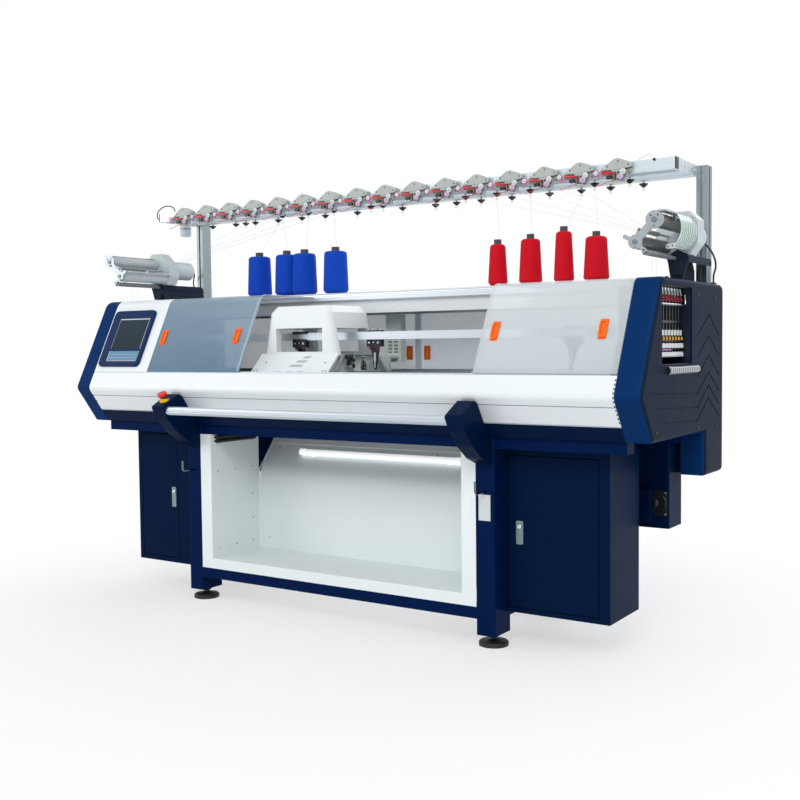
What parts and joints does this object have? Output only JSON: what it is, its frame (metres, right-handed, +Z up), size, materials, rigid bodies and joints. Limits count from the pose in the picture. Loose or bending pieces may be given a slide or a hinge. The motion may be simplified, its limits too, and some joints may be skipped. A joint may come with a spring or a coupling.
{
  "type": "flat knitting machine",
  "caption": "Computerised V-bed flat knitting machine with sliding windows, a carriage, yarn stand, side feeders, operator screen, start bar and cabinets.",
  "frame": {"origin": "centre of the bounding box at the floor", "axes": "+X along the needle beds to the operator's right, +Y to the back, +Z up"},
  "size_m": [2.736, 0.9695, 1.7906],
  "materials": {
    "navy_paint": "satin",
    "cover_plastic": "satin",
    "white_paint": "satin",
    "clear_panel": "glossy",
    "aluminium": "satin",
    "steel": "brushed",
    "chrome": "polished",
    "cast_bed": "painted",
    "grey_plastic": "matte",
    "panel_plastic": "glossy",
    "bezel_plastic": "satin",
    "black_rubber": "matte",
    "motor_black": "matte",
    "red_plastic": "glossy",
    "yellow_plastic": "glossy",
    "lamp_plastic": "glossy",
    "yarn": "wound",
    "tube_plastic": "matte"
  },
  "bodies": {
    "machine": {"base_frame": "navy_paint", "bay_lamp": "lamp_plastic", "bay_liner": "white_paint", "carriage_rails": "steel", "carrier_rails": "aluminium", "cone_tubes": "tube_plastic", "control_box": "navy_paint", "drive_belt": "black_rubber", "drive_motor": "motor_black", "fabric_chute": "white_paint", "feeder_cables": "black_rubber", "feeder_guides": "aluminium", "feeder_housings": "grey_plastic", "feeder_mounts": "navy_paint", "front_cover": "white_paint", "left_cabinet": "navy_paint", "left_end_cover": "cover_plastic", "left_hood": "white_paint", "leveling_feet": "chrome", "lower_trim": "navy_paint", "machine_bed": "cast_bed", "needle_beds": "steel", "operator_panel": "panel_plastic", "rear_cover": "white_paint", "right_cabinet": "navy_paint", "right_end_cover": "cover_plastic", "screen_bezel": "bezel_plastic", "side_frames": "navy_paint", "side_tensioners": "grey_plastic", "signal_lamp": "lamp_plastic", "stop_button_base": "yellow_plastic", "support_arms": "navy_paint", "tension_units": "grey_plastic", "window_tracks": "aluminium", "yarn_combs": "chrome", "yarn_packages": "yarn", "yarn_posts": "aluminium", "yarn_rail": "aluminium", "yarn_table": "white_paint"},
    "left_window": {"left_front_window": "clear_panel"},
    "right_window": {"right_front_window": "clear_panel"},
    "left_back_window": {"left_rear_window": "clear_panel"},
    "right_back_window": {"right_rear_window": "clear_panel"},
    "carriage": {"carriage_cover": "white_paint", "cam_boxes": "grey_plastic"},
    "carrier_1": {"yarn_carrier_1": "grey_plastic"},
    "carrier_2": {"yarn_carrier_2": "grey_plastic"},
    "carrier_3": {"yarn_carrier_3": "grey_plastic"},
    "start_bar": {"start_bar": "aluminium"},
    "stop_button": {"stop_button": "red_plastic"},
    "left_door": {"left_cabinet_door": "navy_paint"},
    "left_latch": {"left_door_latch": "steel"},
    "right_door": {"right_cabinet_door": "navy_paint"},
    "right_latch": {"right_door_latch": "steel"},
    "front_take_down": {"take_down_roller_front": "black_rubber"},
    "rear_take_down": {"take_down_roller_rear": "black_rubber"},
    "left_upper_roller": {"left_upper_feeder_roller": "steel"},
    "left_lower_roller": {"left_lower_feeder_roller": "steel"},
    "right_upper_roller": {"right_upper_feeder_roller": "steel"},
    "right_lower_roller": {"right_lower_feeder_roller": "steel"}
  },
  "joints": [
    {"name": "left_window_slide", "type": "slide", "parent": "machine", "child": "left_window", "axis": [1, 0, 0], "range_m": [0, 0.545]},
    {"name": "right_window_slide", "type": "slide", "parent": "machine", "child": "right_window", "axis": [1, 0, 0], "range_m": [-0.545, 0]},
    {"name": "left_back_window_slide", "type": "slide", "parent": "machine", "child": "left_back_window", "axis": [1, 0, 0], "range_m": [0, 0.4]},
    {"name": "right_back_window_slide", "type": "slide", "parent": "machine", "child": "right_back_window", "axis": [1, 0, 0], "range_m": [-0.4, 0]},
    {"name": "carriage_slide", "type": "slide", "parent": "machine", "child": "carriage", "axis": [1, 0, 0], "range_m": [-0.798, 1.162]},
    {"name": "carrier_1_slide", "type": "slide", "parent": "machine", "child": "carrier_1", "axis": [1, 0, 0], "range_m": [-0.9, 1.4]},
    {"name": "carrier_2_slide", "type": "slide", "parent": "machine", "child": "carrier_2", "axis": [1, 0, 0], "range_m": [-1.252, 1.048]},
    {"name": "carrier_3_slide", "type": "slide", "parent": "machine", "child": "carrier_3", "axis": [1, 0, 0], "range_m": [-2.1, 0.2]},
    {"name": "start_bar_tilt", "type": "hinge", "parent": "machine", "child": "start_bar", "pos_m": [0, -0.46, 0.8335], "axis": [1, 0, 0], "range_deg": [-12, 12]},
    {"name": "stop_button_push", "type": "slide", "parent": "machine", "child": "stop_button", "axis": [0, -0.472, 0.8816], "range_m": [-0.005, 0], "stiffness_N_per_m": 900, "springref_m": 0.001},
    {"name": "left_door_hinge", "type": "hinge", "parent": "machine", "child": "left_door", "pos_m": [-1.122, -0.1836, 0.42], "axis": [0, 0, -1], "range_deg": [0, 110]},
    {"name": "left_latch_push", "type": "slide", "parent": "left_door", "child": "left_latch", "axis": [0, 1, 0], "range_m": [0, 0.003], "stiffness_N_per_m": 400},
    {"name": "right_door_hinge", "type": "hinge", "parent": "machine", "child": "right_door", "pos_m": [1.108, -0.1836, 0.42], "axis": [0, 0, 1], "range_deg": [0, 110]},
    {"name": "right_latch_push", "type": "slide", "parent": "right_door", "child": "right_latch", "axis": [0, 1, 0], "range_m": [0, 0.003], "stiffness_N_per_m": 400},
    {"name": "front_take_down_turn", "type": "hinge", "parent": "machine", "child": "front_take_down", "pos_m": [0, -0.0903, 0.8], "axis": [1, 0, 0], "continuous": true},
    {"name": "rear_take_down_turn", "type": "hinge", "parent": "machine", "child": "rear_take_down", "pos_m": [0, -0.0397, 0.8], "axis": [1, 0, 0], "continuous": true},
    {"name": "left_upper_roller_turn", "type": "hinge", "parent": "machine", "child": "left_upper_roller", "pos_m": [-1.312, -0.05, 1.497], "axis": [0, 1, 0], "continuous": true},
    {"name": "left_lower_roller_turn", "type": "hinge", "parent": "machine", "child": "left_lower_roller", "pos_m": [-1.246, -0.05, 1.428], "axis": [0, 1, 0], "continuous": true},
    {"name": "right_upper_roller_turn", "type": "hinge", "parent": "machine", "child": "right_upper_roller", "pos_m": [1.312, -0.05, 1.497], "axis": [0, 1, 0], "continuous": true},
    {"name": "right_lower_roller_turn", "type": "hinge", "parent": "machine", "child": "right_lower_roller", "pos_m": [1.246, -0.05, 1.428], "axis": [0, 1, 0], "continuous": true}
  ],
  "couplings": [
    {"joint": "rear_take_down_turn", "follows": "front_take_down_turn", "ratio": -1},
    {"joint": "left_lower_roller_turn", "follows": "left_upper_roller_turn", "ratio": 1},
    {"joint": "right_lower_roller_turn", "follows": "right_upper_roller_turn", "ratio": 1}
  ]
}
